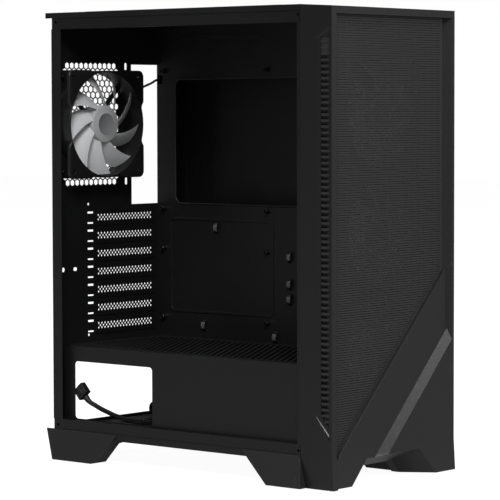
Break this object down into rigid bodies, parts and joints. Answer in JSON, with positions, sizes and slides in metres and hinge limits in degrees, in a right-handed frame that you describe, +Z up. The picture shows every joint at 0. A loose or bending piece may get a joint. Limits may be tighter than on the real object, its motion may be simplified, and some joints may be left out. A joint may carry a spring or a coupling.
{
  "type": "desktop computer tower",
  "caption": "Black mid-tower computer case with its left side open, a slotted front over intake fans, a rear exhaust fan and a power supply shroud.",
  "frame": {"origin": "on the floor, at the middle of the case's overall box", "axes": "+X to the right side panel, +Y to the rear, +Z up"},
  "size_m": [0.23, 0.406, 0.4945],
  "materials": {
    "black_steel": "satin powder coat",
    "bezel_plastic": "fine matt texture",
    "mesh_plastic": "fine matt texture",
    "dark_plastic": "matt",
    "fan_blade": "translucent satin",
    "motor": "matt",
    "black_screw": "black zinc",
    "port_metal": "plain",
    "circuit_board": "solder mask",
    "filter_mesh": "woven nylon",
    "rubber": "matt",
    "cable": "satin jacket",
    "clip_plastic": "natural nylon"
  },
  "bodies": {
    "case": {"chassis_floor": "black_steel", "chassis_top": "black_steel", "front_frame": "black_steel", "rear_panel": "black_steel", "motherboard_tray": "black_steel", "psu_shroud": "black_steel", "slot_cover_1": "black_steel", "slot_cover_2": "black_steel", "slot_cover_3": "black_steel", "slot_cover_4": "black_steel", "slot_cover_5": "black_steel", "slot_cover_6": "black_steel", "slot_cover_7": "black_steel", "slot_screws": "black_screw", "standoffs": "black_screw", "hdd_cage": "black_steel", "ssd_bracket": "black_steel", "ssd_bracket_screws": "black_screw", "rear_fan_frame": "dark_plastic", "rear_fan_motor": "motor", "front_fan_frame_1": "dark_plastic", "front_fan_motor_1": "motor", "front_fan_frame_2": "dark_plastic", "front_fan_motor_2": "motor", "front_fan_frame_3": "dark_plastic", "front_fan_motor_3": "motor", "fan_screws": "black_screw", "io_panel": "bezel_plastic", "io_board": "circuit_board", "usb_ports": "port_metal", "audio_jacks": "dark_plastic", "button_switches": "dark_plastic", "foot_rear_left": "bezel_plastic", "foot_rear_right": "bezel_plastic", "foot_front_left": "bezel_plastic", "foot_front_right": "bezel_plastic", "foot_pads": "rubber", "front_io_cable": "cable", "cable_plug": "dark_plastic", "rear_fan_cable": "cable", "fan_hub": "dark_plastic"},
    "rear_rotor": {"rear_fan_rotor": "fan_blade"},
    "front_rotor_1": {"front_fan_rotor_1": "fan_blade"},
    "front_rotor_2": {"front_fan_rotor_2": "fan_blade"},
    "front_rotor_3": {"front_fan_rotor_3": "fan_blade"},
    "power_key": {"power_button": "bezel_plastic"},
    "reset_key": {"reset_button": "bezel_plastic"},
    "bezel": {"front_bezel": "bezel_plastic", "front_mesh": "mesh_plastic", "side_vent_left": "dark_plastic", "side_vent_right": "dark_plastic", "bezel_clips": "clip_plastic"},
    "top_filter": {"top_dust_filter": "filter_mesh"},
    "psu_filter": {"psu_dust_filter": "filter_mesh"},
    "right_panel": {"right_side_panel": "black_steel", "thumbscrews": "black_screw"}
  },
  "joints": [
    {"name": "rear_fan_spin", "type": "hinge", "parent": "case", "child": "rear_rotor", "pos_m": [-0.0425, 0.1785, 0.3705], "axis": [0, -1, 0], "continuous": true},
    {"name": "front_fan_spin_1", "type": "hinge", "parent": "case", "child": "front_rotor_1", "pos_m": [0, -0.1745, 0.1365], "axis": [0, -1, 0], "continuous": true},
    {"name": "front_fan_spin_2", "type": "hinge", "parent": "case", "child": "front_rotor_2", "pos_m": [0, -0.1745, 0.2595], "axis": [0, -1, 0], "continuous": true},
    {"name": "front_fan_spin_3", "type": "hinge", "parent": "case", "child": "front_rotor_3", "pos_m": [0, -0.1745, 0.3825], "axis": [0, -1, 0], "continuous": true},
    {"name": "power_press", "type": "slide", "parent": "case", "child": "power_key", "axis": [0, 0, -1], "range_m": [0, 0.0012], "stiffness_N_per_m": 300, "springref_m": -0.001},
    {"name": "reset_press", "type": "slide", "parent": "case", "child": "reset_key", "axis": [0, 0, -1], "range_m": [0, 0.0012], "stiffness_N_per_m": 300, "springref_m": -0.001},
    {"name": "bezel_pull", "type": "slide", "parent": "case", "child": "bezel", "axis": [0, -1, 0], "range_m": [0, 0.045]},
    {"name": "top_filter_lift", "type": "slide", "parent": "case", "child": "top_filter", "axis": [0, 0, 1], "range_m": [0, 0.03]},
    {"name": "psu_filter_slide", "type": "slide", "parent": "case", "child": "psu_filter", "axis": [0, 1, 0], "range_m": [0, 0.135]},
    {"name": "right_panel_slide", "type": "slide", "parent": "case", "child": "right_panel", "axis": [0, 1, 0], "range_m": [0, 0.015]}
  ]
}
